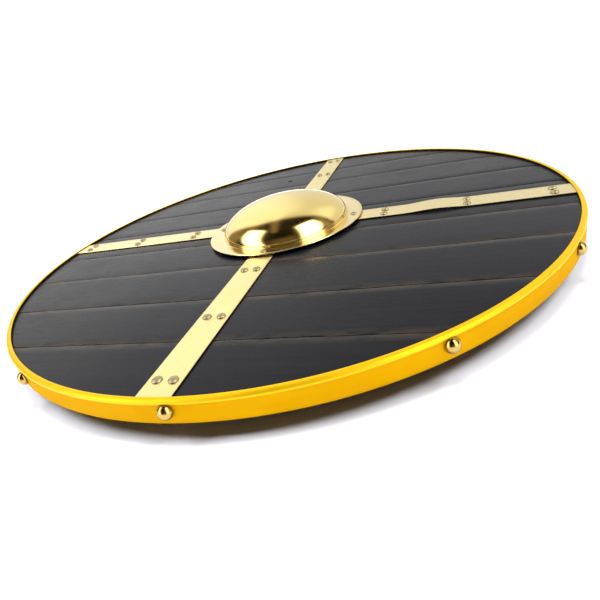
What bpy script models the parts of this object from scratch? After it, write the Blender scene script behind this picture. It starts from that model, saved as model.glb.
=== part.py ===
"""A round plank shield with a brass boss, cross straps and rim, lying on its back.

Metres, +Z up. X runs along the planks, the origin is on the floor under the rim's centre.
The face looks up, and the grip and the two back battens carry the shield on the floor.
"""
import math

import bmesh
import bpy
from mathutils import Matrix, Vector

# Clearance between pieces that touch
GAP = 0.0003

# Board of butted planks
BOARD_THICKNESS = 0.016
PLANK_COUNT = 9
EDGE_PLANK_SPARE = 0.0015
PLANK_ALTERNATION = 0.0010
PLANK_EASE = 0.0006
BOARD_SHIFT_Y = -0.0008
HAND_HOLE_MARGIN = 0.010

# Brass rim channel, folded over the board's edge
RIM_RADIUS = 0.300
RIM_SHEET = 0.0008
RIM_LIP = 0.005
RIM_SHOULDER = 0.0016
RIM_SIDES = 60

# Brass straps, which run from under the boss to under the rim
STRAP_WIDTH = 0.0272
STRAP_THICKNESS = 0.0008
STRAP_SET_BACK = 0.0065
STRAP_ANGLES = {"right": 0.0, "far": 90.0, "left": 180.0, "near": 270.0}

# Brass boss, a spun dome on a flat flange
BOSS_SHIFT_X = 0.0035
BOSS_DOME_RADIUS = 0.072
BOSS_FLANGE_WIDTH = 0.0165
BOSS_DOME_HEIGHT = 0.031
BOSS_COVE = 0.002
BOSS_SHEET = 0.0012
BOSS_SIDES = 40
BOSS_RINGS = 9

# Domed brass pins in the straps and the boss flange
PIN_HEAD_RADIUS = 0.0039
PIN_HEAD_HEIGHT = 0.0021
PIN_SHANK_RADIUS = 0.0013
PIN_SIDES = 8
PIN_DOME_RINGS = 2
PIN_BITE = 0.009
PIN_BITE_BATTEN = 0.008
PIN_PAIR_SPACING = 0.0128
PAIR_BOSS_MARGIN = 0.0285
PAIR_RIM_MARGIN = 0.017
MIDDLE_PAIR_SHIFT = 0.0025

# Drilled holes, with few sides
HOLE_SIDES = 6

# Domed brass nails round the rim's side
NAIL_COUNT = 11
NAIL_START_DEG = -87.5
NAIL_NUDGES_DEG = {1: 2.4, 2: -0.9, 8: 1.6, 10: 2.7}
NAIL_RISE = 0.0012
NAIL_HEAD_RADIUS = 0.0056
NAIL_HEAD_HEIGHT = 0.0042
NAIL_SHANK_RADIUS = 0.0014
NAIL_BITE = 0.016
NAIL_SIDES = 10
NAIL_DOME_RINGS = 2

# Wooden grip batten across the hand hole and two side battens on the back
BATTEN_THICKNESS = 0.014
BATTEN_WIDTH = 0.030
BATTEN_ROUND = 0.003
BATTEN_END_THICKNESS = 0.009
BATTEN_END_TAPER = 0.028
BATTEN_RIM_CLEARANCE = 0.007
GRIP_ROUND_SEGMENTS = 3
BACK_ROUND_SEGMENTS = 1

# Heights, from the floor up
BOARD_BACK = BATTEN_THICKNESS + GAP
BOARD_FACE = BOARD_BACK + BOARD_THICKNESS
STRAP_BACK = BOARD_FACE + GAP
STRAP_FACE = STRAP_BACK + STRAP_THICKNESS
FLANGE_BACK = STRAP_FACE + GAP
FLANGE_FACE = FLANGE_BACK + BOSS_SHEET
RIM_TOP = STRAP_FACE + 2 * GAP + RIM_SHEET
RIM_BOTTOM = BOARD_BACK - GAP - RIM_SHEET

# Radii about the rim's centre
RIM_INSIDE = RIM_RADIUS - RIM_SHEET
BOARD_RADIUS = RIM_INSIDE - GAP
LIP_RADIUS = RIM_RADIUS - RIM_LIP
PLANK_WIDTH = 2 * (BOARD_RADIUS - EDGE_PLANK_SPARE) / PLANK_COUNT
FACET_SHARE = math.cos(math.pi / RIM_SIDES)
STRAP_END = math.sqrt((BOARD_RADIUS * FACET_SHARE) ** 2 - (STRAP_WIDTH / 2) ** 2) - GAP
BATTEN_CIRCLE = LIP_RADIUS - BATTEN_RIM_CLEARANCE

# The boss and the pins about the boss's centre
BOSS_CENTRE = Vector((BOSS_SHIFT_X, 0.0, 0.0))
BOSS_FLANGE_RADIUS = BOSS_DOME_RADIUS + BOSS_FLANGE_WIDTH
HAND_HOLE_RADIUS = BOSS_DOME_RADIUS - HAND_HOLE_MARGIN
BOSS_PIN_REACH = BOSS_DOME_RADIUS + BOSS_FLANGE_WIDTH / 2
INNER_PAIR_REACH = BOSS_FLANGE_RADIUS + PAIR_BOSS_MARGIN
OUTER_PAIR_REACH = LIP_RADIUS - PAIR_RIM_MARGIN
MIDDLE_PAIR_REACH = (INNER_PAIR_REACH + OUTER_PAIR_REACH) / 2 + MIDDLE_PAIR_SHIFT
PIN_PAIR_REACHES = (INNER_PAIR_REACH, MIDDLE_PAIR_REACH, OUTER_PAIR_REACH)

# Values of the modelling itself
SMOOTH_ANGLE = math.radians(40)
ROUNDED_ANGLE = math.radians(60)
OVERCUT = 0.002
MERGE_DISTANCE = 0.0001
SAME_PLACE = 1e-6


def clear_scene():
    """Remove every object that a new file holds."""
    for thing in list(bpy.data.objects):
        bpy.data.objects.remove(thing, do_unlink=True)


def make_collection(name):
    """Return a new collection in the scene."""
    collection = bpy.data.collections.new(name)
    bpy.context.scene.collection.children.link(collection)
    return collection


def make_material(name, colour, roughness, metallic):
    """Return a Principled material."""
    material = bpy.data.materials.new(name)
    material.use_nodes = True
    shader = material.node_tree.nodes["Principled BSDF"]
    shader.inputs["Base Color"].default_value = (*colour, 1.0)
    shader.inputs["Roughness"].default_value = roughness
    shader.inputs["Metallic"].default_value = metallic
    material.diffuse_color = (*colour, 1.0)
    return material


def add_object(name, bm, collection, material=None, smooth=False):
    """Turn a bmesh into a named object in a collection."""
    bmesh.ops.recalc_face_normals(bm, faces=bm.faces)
    mesh = bpy.data.meshes.new(name)
    bm.to_mesh(mesh)
    bm.free()
    if smooth:
        mesh.shade_smooth()
        mesh.set_sharp_from_angle(angle=SMOOTH_ANGLE)
    thing = bpy.data.objects.new(name, mesh)
    collection.objects.link(thing)
    if material:
        mesh.materials.append(material)
    return thing


def mark_cutter(thing):
    """Show a cutter as wire and keep it out of the model."""
    thing.hide_render = True
    thing.display_type = "WIRE"
    return thing


def cut(thing, cutter):
    """Subtract a cutter from a piece."""
    modifier = thing.modifiers.new("cut " + cutter.name, "BOOLEAN")
    modifier.operation = "DIFFERENCE"
    modifier.solver = "EXACT"
    modifier.object = cutter


def add_cylinder(bm, radius, bottom, top, centre, sides):
    """Add an upright cylinder between two heights to a bmesh."""
    place = Matrix.Translation((centre.x, centre.y, (bottom + top) / 2))
    bmesh.ops.create_cone(
        bm, cap_ends=True, segments=sides, radius1=radius, radius2=radius,
        depth=top - bottom, matrix=place,
    )


def direction(degrees):
    """Return the level unit vector at an angle from +X."""
    angle = math.radians(degrees)
    return Vector((math.cos(angle), math.sin(angle), 0.0))


def joint_level(index):
    """Return the Y of the joint on the near side of a plank.

    The planks are a little wide and a little narrow by turns, as sawn boards are.
    """
    level = BOARD_SHIFT_Y + (index - PLANK_COUNT / 2) * PLANK_WIDTH
    return level + (PLANK_ALTERNATION if index % 2 else -PLANK_ALTERNATION)


def plank_edges():
    """Return the lower and upper Y of each plank, from the near side to the far side.

    The outermost planks run out to the board's round edge.
    """
    edges = []
    for index in range(PLANK_COUNT):
        low = joint_level(index) + GAP / 2
        high = joint_level(index + 1) - GAP / 2
        if index == 0:
            low = -BOARD_RADIUS
        if index == PLANK_COUNT - 1:
            high = BOARD_RADIUS
        edges.append((low, high))
    return edges


def plank_blank(low, high):
    """Return the bmesh of one plank, a strip of the round board with eased joint edges."""
    bm = bmesh.new()
    add_cylinder(bm, BOARD_RADIUS, BOARD_BACK, BOARD_FACE, Vector(), RIM_SIDES)
    joints = []
    for level, sign in ((low, -1.0), (high, 1.0)):
        if abs(level) >= BOARD_RADIUS * FACET_SHARE:
            continue
        parts = bm.verts[:] + bm.edges[:] + bm.faces[:]
        cut_line = bmesh.ops.bisect_plane(
            bm, geom=parts, plane_co=(0, level, 0), plane_no=(0, sign, 0), clear_outer=True
        )["geom_cut"]
        rim_edges = [part for part in cut_line if isinstance(part, bmesh.types.BMEdge)]
        bmesh.ops.contextual_create(bm, geom=rim_edges)
        joints.append(level)
    eased = [
        edge for edge in bm.edges
        if any(all(abs(v.co.y - level) < SAME_PLACE for v in edge.verts) for level in joints)
        and all(abs(v.co.z - BOARD_FACE) < SAME_PLACE for v in edge.verts)
    ]
    bmesh.ops.bevel(bm, geom=eased, offset=PLANK_EASE, segments=1, affect="EDGES")
    return bm


def plank_half(low, high, sign):
    """Return the part of a plank on one side of the hand hole."""
    bm = plank_blank(low, high)
    parts = bm.verts[:] + bm.edges[:] + bm.faces[:]
    cut_line = bmesh.ops.bisect_plane(
        bm, geom=parts, plane_co=BOSS_CENTRE, plane_no=(-sign, 0, 0), clear_outer=True
    )["geom_cut"]
    edges = [part for part in cut_line if isinstance(part, bmesh.types.BMEdge)]
    bmesh.ops.contextual_create(bm, geom=edges)
    return bm


def hole_crosses(low, high):
    """Say whether the hand hole cuts a plank right through."""
    return low > -HAND_HOLE_RADIUS and high < HAND_HOLE_RADIUS


def build_planks(parts, wood, cutters):
    """Build the planks, the middle one in two halves where the hand hole parts it."""
    for number, (low, high) in enumerate(plank_edges(), start=1):
        name = f"plank_{number}"
        if hole_crosses(low, high):
            blanks = {
                name + "_left": plank_half(low, high, -1.0),
                name + "_right": plank_half(low, high, 1.0),
            }
        else:
            blanks = {name: plank_blank(low, high)}
        for piece_name, bm in blanks.items():
            plank = add_object(piece_name, bm, parts, wood)
            for cutter in cutters:
                cut(plank, cutter)


def rim_profile():
    """Return the rim's closed section as radius and height, down its outer side first."""
    corner = RIM_SHOULDER * (1 - math.sqrt(0.5))
    return [
        (LIP_RADIUS, BOARD_FACE + GAP),
        (LIP_RADIUS, RIM_TOP),
        (RIM_RADIUS - RIM_SHOULDER, RIM_TOP),
        (RIM_RADIUS - corner, RIM_TOP - corner),
        (RIM_RADIUS, RIM_TOP - RIM_SHOULDER),
        (RIM_RADIUS, RIM_BOTTOM + RIM_SHEET),
        (RIM_RADIUS - RIM_SHEET, RIM_BOTTOM),
        (LIP_RADIUS, RIM_BOTTOM),
        (LIP_RADIUS, RIM_BOTTOM + RIM_SHEET),
        (RIM_INSIDE, RIM_BOTTOM + RIM_SHEET),
        (RIM_INSIDE, RIM_TOP - RIM_SHEET),
        (LIP_RADIUS + RIM_SHEET, RIM_TOP - RIM_SHEET),
        (LIP_RADIUS + RIM_SHEET, BOARD_FACE + GAP),
    ]


def add_screw(thing, steps):
    """Turn a profile once about Z."""
    screw = thing.modifiers.new("turn", "SCREW")
    screw.axis = "Z"
    screw.steps = steps
    screw.render_steps = steps
    screw.use_merge_vertices = True
    screw.merge_threshold = MERGE_DISTANCE
    screw.use_smooth_shade = True
    return screw


def build_rim(parts, brass, cutters):
    """Build the rim channel, a turned section with slots for the straps and nail holes."""
    points = rim_profile()
    mesh = bpy.data.meshes.new("rim")
    ring = [(index, (index + 1) % len(points)) for index in range(len(points))]
    mesh.from_pydata([(radius, 0.0, height) for radius, height in points], ring, [])
    mesh.materials.append(brass)
    rim = bpy.data.objects.new("rim", mesh)
    parts.objects.link(rim)
    add_screw(rim, RIM_SIDES)
    for cutter in cutters:
        cut(rim, cutter)


def boss_profile():
    """Return the boss's outer face from its crown to its flange edge."""
    points = []
    last = math.asin(1 - BOSS_COVE / BOSS_DOME_RADIUS)
    for index in range(BOSS_RINGS):
        turn = last * index / (BOSS_RINGS - 1)
        radius = BOSS_DOME_RADIUS * math.sin(turn)
        points.append((radius, FLANGE_FACE + BOSS_DOME_HEIGHT * math.cos(turn)))
    points.append((BOSS_DOME_RADIUS + BOSS_COVE, FLANGE_FACE))
    points.append((BOSS_FLANGE_RADIUS, FLANGE_FACE))
    return points


def build_boss(parts, brass, cutter):
    """Build the boss as a turned shell of sheet brass, open below."""
    points = boss_profile()
    mesh = bpy.data.meshes.new("boss")
    line = [(index, index + 1) for index in range(len(points) - 1)]
    mesh.from_pydata([(radius, 0.0, height) for radius, height in points], line, [])
    mesh.materials.append(brass)
    boss = bpy.data.objects.new("boss", mesh)
    boss.location = BOSS_CENTRE
    parts.objects.link(boss)
    add_screw(boss, BOSS_SIDES)
    wall = boss.modifiers.new("wall", "SOLIDIFY")
    wall.thickness = BOSS_SHEET
    wall.offset = -1.0
    wall.use_even_offset = True
    cut(boss, cutter)


def strap_offset(degrees):
    """Return the point of a strap's centre line that is nearest to the rim's centre."""
    along = direction(degrees)
    return BOSS_CENTRE - along * BOSS_CENTRE.dot(along)


def strap_span(degrees):
    """Return the two ends of a strap's centre line."""
    along = direction(degrees)
    start = BOSS_CENTRE + along * (HAND_HOLE_RADIUS + STRAP_SET_BACK)
    return start, strap_offset(degrees) + along * STRAP_END


def strap_box(bm, start, end, width, bottom, top):
    """Add a flat bar between two points of a centre line to a bmesh."""
    along = end - start
    place = Matrix.Translation((start + end) / 2 + Vector((0, 0, (bottom + top) / 2)))
    place @= along.to_track_quat("X", "Z").to_matrix().to_4x4()
    size = Matrix.Diagonal((along.length, width, top - bottom, 1.0))
    bmesh.ops.create_cube(bm, size=1.0, matrix=place @ size)


def build_straps(parts, brass, cutter):
    """Build the four straps."""
    for side, degrees in STRAP_ANGLES.items():
        bm = bmesh.new()
        strap_box(bm, *strap_span(degrees), STRAP_WIDTH, STRAP_BACK, STRAP_FACE)
        cut(add_object("strap_" + side, bm, parts, brass), cutter)


def strap_slots(guides):
    """Return the cutter that lets the straps through the rim's folded inner edge."""
    bm = bmesh.new()
    width = STRAP_WIDTH + 2 * GAP
    for degrees in STRAP_ANGLES.values():
        along = direction(degrees)
        offset = strap_offset(degrees)
        inner = offset + along * (LIP_RADIUS - OVERCUT)
        outer = offset + along * (LIP_RADIUS + RIM_SHEET + GAP)
        strap_box(bm, inner, outer, width, BOARD_FACE - OVERCUT, STRAP_FACE + GAP)
    return mark_cutter(add_object("strap_slots", bm, guides))


def pin_places():
    """Return each pin's name, point on the face and seat height."""
    places = []
    for side, degrees in STRAP_ANGLES.items():
        along = direction(degrees)
        across = direction(degrees + 90.0) * PIN_PAIR_SPACING / 2
        places.append((f"boss_pin_{side}", BOSS_CENTRE + along * BOSS_PIN_REACH, FLANGE_FACE))
        count = 0
        for reach in PIN_PAIR_REACHES:
            for step in (-across, across):
                count += 1
                spot = strap_offset(degrees) + along * reach + step
                places.append((f"strap_pin_{side}_{count}", spot, STRAP_FACE))
    return places


def over_batten(spot):
    """Say whether a point of the face has a batten behind it."""
    room = BATTEN_WIDTH / 2 - PIN_SHANK_RADIUS - BATTEN_ROUND
    for centre, half_length in batten_lines():
        if abs(spot.x - centre) < room and abs(spot.y) < half_length - BATTEN_END_TAPER / 2:
            return True
    return False


def pin_tip(spot):
    """Return the height of a pin's lower end, deeper where a batten lies behind."""
    if over_batten(spot):
        return BATTEN_THICKNESS - PIN_BITE_BATTEN
    return BOARD_FACE - PIN_BITE


def head_profile(head_radius, head_height, shank_radius, length, rings):
    """Return the turned outline of a domed pin, from the crown down to the tip."""
    points = []
    for index in range(rings + 1):
        turn = math.pi / 2 * index / rings
        points.append((head_radius * math.sin(turn), head_height * math.cos(turn)))
    points.append((shank_radius, 0.0))
    points.append((shank_radius, -length))
    points.append((0.0, -length))
    return points


def domed_pin(name, parts, brass, profile, sides, place):
    """Build one turned pin and put it in its place."""
    bm = bmesh.new()
    verts = [bm.verts.new((radius, 0.0, height)) for radius, height in profile]
    for first, second in zip(verts, verts[1:]):
        bm.edges.new((first, second))
    bmesh.ops.spin(
        bm, geom=bm.verts[:] + bm.edges[:], cent=(0, 0, 0), axis=(0, 0, 1),
        angle=math.tau, steps=sides, use_merge=True,
    )
    bmesh.ops.remove_doubles(bm, verts=bm.verts, dist=SAME_PLACE)
    bmesh.ops.transform(bm, matrix=place, verts=bm.verts)
    return add_object(name, bm, parts, brass, smooth=True)


def build_pins(parts, brass):
    """Build the pins of the straps and of the boss flange."""
    for name, spot, seat in pin_places():
        base = seat + GAP
        length = base - pin_tip(spot)
        profile = head_profile(
            PIN_HEAD_RADIUS, PIN_HEAD_HEIGHT, PIN_SHANK_RADIUS, length, PIN_DOME_RINGS
        )
        place = Matrix.Translation((spot.x, spot.y, base))
        domed_pin(name, parts, brass, profile, PIN_SIDES, place)


def hole_radius(shank_radius):
    """Return the corner radius of a hole whose flats clear a round shank."""
    return (shank_radius + GAP) / math.cos(math.pi / HOLE_SIDES)


def pin_holes(guides):
    """Return the cutter with one hole for each pin."""
    bm = bmesh.new()
    radius = hole_radius(PIN_SHANK_RADIUS)
    for _, spot, seat in pin_places():
        add_cylinder(bm, radius, pin_tip(spot) - GAP, seat + OVERCUT, spot, HOLE_SIDES)
    return mark_cutter(add_object("pin_holes", bm, guides))


def nail_frames():
    """Return the placing matrix of each rim nail, its axis pointing out of the rim."""
    frames = []
    height = (RIM_TOP + RIM_BOTTOM) / 2 + NAIL_RISE
    for index in range(NAIL_COUNT):
        degrees = NAIL_START_DEG + 360.0 * index / NAIL_COUNT + NAIL_NUDGES_DEG.get(index, 0.0)
        out = direction(degrees)
        seat = out * (RIM_RADIUS + GAP) + Vector((0, 0, height))
        turn = out.to_track_quat("Z", "Y").to_matrix().to_4x4()
        frames.append(Matrix.Translation(seat) @ turn)
    return frames


def build_nails(parts, brass):
    """Build the nails round the rim."""
    length = RIM_SHEET + 2 * GAP + NAIL_BITE
    profile = head_profile(
        NAIL_HEAD_RADIUS, NAIL_HEAD_HEIGHT, NAIL_SHANK_RADIUS, length, NAIL_DOME_RINGS
    )
    for number, frame in enumerate(nail_frames(), start=1):
        domed_pin(f"rim_nail_{number:02d}", parts, brass, profile, NAIL_SIDES, frame)


def nail_holes(guides):
    """Return the cutter with one hole for each rim nail."""
    bm = bmesh.new()
    radius = hole_radius(NAIL_SHANK_RADIUS)
    depth = RIM_SHEET + 3 * GAP + NAIL_BITE + OVERCUT
    for frame in nail_frames():
        place = frame @ Matrix.Translation((0, 0, OVERCUT - depth / 2))
        bmesh.ops.create_cone(
            bm, cap_ends=True, segments=HOLE_SIDES, radius1=radius, radius2=radius,
            depth=depth, matrix=place,
        )
    return mark_cutter(add_object("nail_holes", bm, guides))


def hand_hole(guides):
    """Return the cutter of the hand hole behind the boss."""
    bm = bmesh.new()
    low = BOARD_BACK - OVERCUT
    high = BOARD_FACE + OVERCUT
    add_cylinder(bm, HAND_HOLE_RADIUS, low, high, BOSS_CENTRE, BOSS_SIDES)
    return mark_cutter(add_object("hand_hole", bm, guides))


def batten_lines():
    """Return the X and half length of the grip batten and the two side battens."""
    lines = []
    for centre in (BOSS_SHIFT_X, -MIDDLE_PAIR_REACH, MIDDLE_PAIR_REACH):
        edge = abs(centre) + BATTEN_WIDTH / 2
        lines.append((centre, math.sqrt(BATTEN_CIRCLE ** 2 - edge ** 2)))
    return lines


def build_batten(name, parts, wood, centre, half_length, segments, cutter):
    """Build one batten, a bar whose underside rises at both ends, with rounded edges."""
    bm = bmesh.new()
    place = Matrix.Translation((centre, 0, BATTEN_THICKNESS / 2))
    size = Matrix.Diagonal((BATTEN_WIDTH, 2 * half_length, BATTEN_THICKNESS, 1.0))
    bmesh.ops.create_cube(bm, size=1.0, matrix=place @ size)
    taper_start = half_length - BATTEN_END_TAPER
    for level in (-taper_start, taper_start):
        geometry = bm.verts[:] + bm.edges[:] + bm.faces[:]
        bmesh.ops.bisect_plane(bm, geom=geometry, plane_co=(0, level, 0), plane_no=(0, 1, 0))
    for vert in bm.verts:
        if vert.co.z < BATTEN_THICKNESS / 2 and abs(vert.co.y) > taper_start + GAP:
            vert.co.z = BATTEN_THICKNESS - BATTEN_END_THICKNESS
    batten = add_object(name, bm, parts, wood)
    bevel = batten.modifiers.new("round", "BEVEL")
    bevel.width = BATTEN_ROUND
    bevel.segments = segments
    bevel.limit_method = "ANGLE"
    bevel.angle_limit = ROUNDED_ANGLE
    cut(batten, cutter)


def build_battens(parts, wood, cutter):
    """Build the grip batten and the two side battens."""
    rounding = {
        "grip_batten": GRIP_ROUND_SEGMENTS,
        "back_batten_left": BACK_ROUND_SEGMENTS,
        "back_batten_right": BACK_ROUND_SEGMENTS,
    }
    for name, (centre, half_length) in zip(rounding, batten_lines()):
        build_batten(name, parts, wood, centre, half_length, rounding[name], cutter)


def main():
    """Build the whole shield."""
    clear_scene()
    parts = make_collection("Viking shield")
    guides = make_collection("Viking shield cutters")
    painted_wood = make_material("black_stained_wood", (0.045, 0.045, 0.047), 0.5, 0.0)
    bare_wood = make_material("batten_wood", (0.16, 0.085, 0.042), 0.6, 0.0)
    rim_brass = make_material("rim_brass", (0.85, 0.52, 0.06), 0.28, 1.0)
    strap_brass = make_material("strap_brass", (0.83, 0.66, 0.34), 0.35, 1.0)
    boss_brass = make_material("boss_brass", (0.82, 0.62, 0.28), 0.18, 1.0)
    pin_brass = make_material("pin_brass", (0.62, 0.46, 0.22), 0.3, 1.0)

    pins = pin_holes(guides)
    nails = nail_holes(guides)
    build_planks(parts, painted_wood, (hand_hole(guides), pins, nails))
    build_rim(parts, rim_brass, (strap_slots(guides), nails))
    build_straps(parts, strap_brass, pins)
    build_boss(parts, boss_brass, pins)
    build_pins(parts, pin_brass)
    build_nails(parts, rim_brass)
    build_battens(parts, bare_wood, pins)


main()
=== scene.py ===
"""A round plank shield on its back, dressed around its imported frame.

Metres, +Z up: X runs along the planks, and the origin is on the floor under the rim's centre.
Charcoal stained planks lie under a cross of brass straps, a spun boss and a folded rim.
"""

import logging
import math
from collections.abc import Callable, Iterator, Sequence
from contextlib import contextmanager
from dataclasses import dataclass
from enum import Enum, IntEnum
from functools import reduce
from itertools import pairwise
from typing import Any

import bmesh
import bpy
from mathutils import Matrix, Quaternion, Vector


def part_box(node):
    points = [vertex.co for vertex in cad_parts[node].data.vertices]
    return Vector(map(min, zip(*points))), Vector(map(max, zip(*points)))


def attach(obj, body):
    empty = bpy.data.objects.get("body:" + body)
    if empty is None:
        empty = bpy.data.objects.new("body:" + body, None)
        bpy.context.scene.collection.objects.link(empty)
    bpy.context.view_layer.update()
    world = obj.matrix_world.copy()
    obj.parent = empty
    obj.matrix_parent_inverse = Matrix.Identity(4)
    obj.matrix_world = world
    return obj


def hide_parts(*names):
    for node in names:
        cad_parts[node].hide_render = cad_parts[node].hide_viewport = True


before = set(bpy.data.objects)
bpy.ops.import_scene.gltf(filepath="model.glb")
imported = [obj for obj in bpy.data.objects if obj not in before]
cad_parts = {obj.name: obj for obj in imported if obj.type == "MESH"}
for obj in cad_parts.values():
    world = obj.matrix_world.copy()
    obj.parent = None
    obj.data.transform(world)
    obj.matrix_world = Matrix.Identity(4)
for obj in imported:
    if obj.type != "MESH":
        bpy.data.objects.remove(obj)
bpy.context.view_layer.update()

REPORT = logging.getLogger("shield")
BODY = "root"
# Points nearer than this are one, and a cutter reaches this far past what it cuts, in metres.
MERGE = 1e-6
OVERCUT = 0.002
# A face is level where the upright part of its normal is more than this.
LEVEL = 0.99
DRILL_SIDES = 16
RIPPLE_LAYERS = 2
# Fine lines are drawn out by this share along their run.
DRAWN_OUT = 0.03
# Most of a noise lies between these two.
NOISE_RANGE = (0.3, 0.7)
# Spreads the tones that the planks hold, so that neighbours differ.
TONE_SPREAD = 7.31

Colour = tuple[float, float, float]
Outline = list[tuple[float, float]]
Piece = bpy.types.Object
Material = bpy.types.Material
Socket = bpy.types.NodeSocket
ORIGIN = Vector((0.0, 0.0, 0.0))
WHITE: Colour = (1.0, 1.0, 1.0)


class Pick(Enum):
    """What an edit selects."""

    VERTS = "VERT"
    EDGES = "EDGE"
    FACES = "FACE"


class Run(Enum):
    """Which way the fine lines of a finish run."""

    ALONG_X = (DRAWN_OUT, 1.0, 1.0)
    ALONG_Y = (1.0, DRAWN_OUT, 1.0)
    AROUND = (0.0, 0.0, 0.0)


class RimPart(IntEnum):
    """The parts of the rim, in the order of its finishes: the lip's finish is painted light and the hem's
    is painted shade.
    """

    SIDE = 0
    LIP = 1
    HEM = 2


class Side(Enum):
    """The four arms of the brass cross, by their angle from +X in degrees."""

    RIGHT = 0
    FAR = 90
    LEFT = 180
    NEAR = 270

    @property
    def label(self) -> str:
        """The side's word in the names of nodes and pieces."""
        return self.name.lower()

    @property
    def along(self) -> Vector:
        """The level direction in which the arm runs out."""
        angle = math.radians(self.value)
        return Vector((round(math.cos(angle)), round(math.sin(angle)), 0.0))

    @property
    def across(self) -> Vector:
        """The level direction across the arm."""
        return Vector((-self.along.y, self.along.x, 0.0))


@dataclass(frozen=True)
class Place:
    """The room that a node of the frame takes."""

    low: Vector
    high: Vector

    @property
    def centre(self) -> Vector:
        """The middle of the room."""
        return (self.low + self.high) / 2

    @property
    def size(self) -> Vector:
        """The room's width, length and height."""
        return self.high - self.low


PLACES = {node: Place(*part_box(node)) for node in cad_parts}
BOARD_RADIUS = PLACES["plank_5_right"].high.x
BOARD_BACK = PLACES["plank_1"].low.z
BOARD_FACE = PLACES["plank_1"].high.z
RIM_RADIUS = PLACES["rim"].size.x / 2
BOSS_RADIUS = PLACES["boss"].size.x / 2
BOSS_AXIS = Vector((PLACES["boss"].centre.x, 0.0, 0.0))


def nodes_with(word: str) -> list[str]:
    """Return the nodes of the frame that have a word in their names, in order."""
    return sorted(node for node in PLACES if word in node)


def select_only(piece: Piece) -> None:
    """Make a piece the only selected one and the active one."""
    bpy.ops.object.select_all(action="DESELECT")
    piece.select_set(True)
    bpy.context.view_layer.objects.active = piece


@contextmanager
def editing(piece: Piece) -> Iterator[None]:
    """Open a piece in edit mode with nothing selected, and close it again."""
    select_only(piece)
    bpy.ops.object.mode_set(mode="EDIT")
    bpy.ops.mesh.select_mode(type=Pick.VERTS.value)
    bpy.ops.mesh.select_all(action="DESELECT")
    yield
    bpy.ops.object.mode_set(mode="OBJECT")


def select(piece: Piece, kind: Pick, test: Callable[[Any], bool]) -> None:
    """Select, in edit mode, the vertices, edges or faces that pass a test, and nothing else."""
    bpy.ops.mesh.select_mode(type=kind.value)
    bpy.ops.mesh.select_all(action="DESELECT")
    mesh = bmesh.from_edit_mesh(piece.data)
    parts = {Pick.VERTS: mesh.verts, Pick.EDGES: mesh.edges, Pick.FACES: mesh.faces}[kind]
    for part in parts:
        if test(part):
            part.select_set(True)
    mesh.select_flush_mode()
    bmesh.update_edit_mesh(piece.data)


def runs_along(edge: bmesh.types.BMEdge, axis: int) -> bool:
    """Say whether an edge is parallel to an axis, 0 for X, 1 for Y and 2 for Z."""
    step = edge.verts[1].co - edge.verts[0].co
    return abs(step[axis]) > step.length - MERGE


def settle(name: str) -> Piece:
    """Name the new active piece, and put its place into its mesh."""
    piece = bpy.context.active_object
    piece.name = name
    piece.data.name = name
    select_only(piece)
    bpy.ops.object.transform_apply(location=True, rotation=True, scale=True)
    return piece


def add_bar(name: str, low: Vector, high: Vector) -> Piece:
    """Add a bar between its lowest and its highest corner."""
    bpy.ops.mesh.primitive_cube_add(size=1.0, location=(low + high) / 2, scale=high - low)
    return settle(name)


def turn_outline(name: str, outline: Outline, steps: int, centre: Vector) -> Piece:
    """Draw an outline by extruding a point, and spin it about an upright axis.

    The outline has the radius and height of each point, down the outer side, and the centre is a
    point of the axis. The faces point outwards.
    """
    points = [centre + Vector((radius, 0.0, height)) for radius, height in outline]
    bpy.ops.mesh.primitive_plane_add(size=OVERCUT, location=points[0])
    piece = settle(name)
    with editing(piece):
        bpy.ops.mesh.select_all(action="SELECT")
        bpy.ops.mesh.merge(type="CENTER")
        for here, there in pairwise(points):
            bpy.ops.mesh.extrude_region_move(TRANSFORM_OT_translate={"value": there - here})
        bpy.ops.mesh.select_all(action="SELECT")
        bpy.ops.mesh.spin(steps=steps, angle=math.tau, center=centre, axis=(0, 0, 1))
        bpy.ops.mesh.select_all(action="SELECT")
        bpy.ops.mesh.remove_doubles(threshold=MERGE)
        bpy.ops.mesh.normals_make_consistent(inside=False)
    return piece


def modify(piece: Piece, kind: str, **settings: Any) -> None:
    """Give a piece a modifier with these settings, and apply it."""
    modifier = piece.modifiers.new(kind.lower(), kind)
    for key, value in settings.items():
        setattr(modifier, key, value)
    select_only(piece)
    bpy.ops.object.modifier_apply(modifier=modifier.name)


def cut(piece: Piece, cutter: Piece, operation: str = "DIFFERENCE") -> None:
    """Take a closed cutter away from a piece, or with INTERSECT keep only what is in the cutter."""
    modify(piece, "BOOLEAN", operation=operation, solver="EXACT", object=cutter)


def soften(piece: Piece, width: float, segments: int = 2, degrees: float = 60.0) -> None:
    """Round the edges of a piece that are sharper than an angle, from a width in on."""
    modify(
        piece, "BEVEL", width=width, segments=segments, limit_method="ANGLE",
        angle_limit=math.radians(degrees), miter_outer="MITER_ARC",
    )


def thicken(piece: Piece, sheet: float) -> None:
    """Give a turned outer face the wall of a sheet, inwards."""
    modify(piece, "SOLIDIFY", thickness=sheet, offset=-1.0, use_even_offset=True)


def ripple(name: str, size: float) -> bpy.types.Texture:
    """Return a soft cloudy pattern for uneven surfaces, whose hills are a size apart."""
    texture = bpy.data.textures.new(name, "CLOUDS")
    texture.noise_scale = size
    texture.noise_depth = RIPPLE_LAYERS
    return texture


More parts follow.
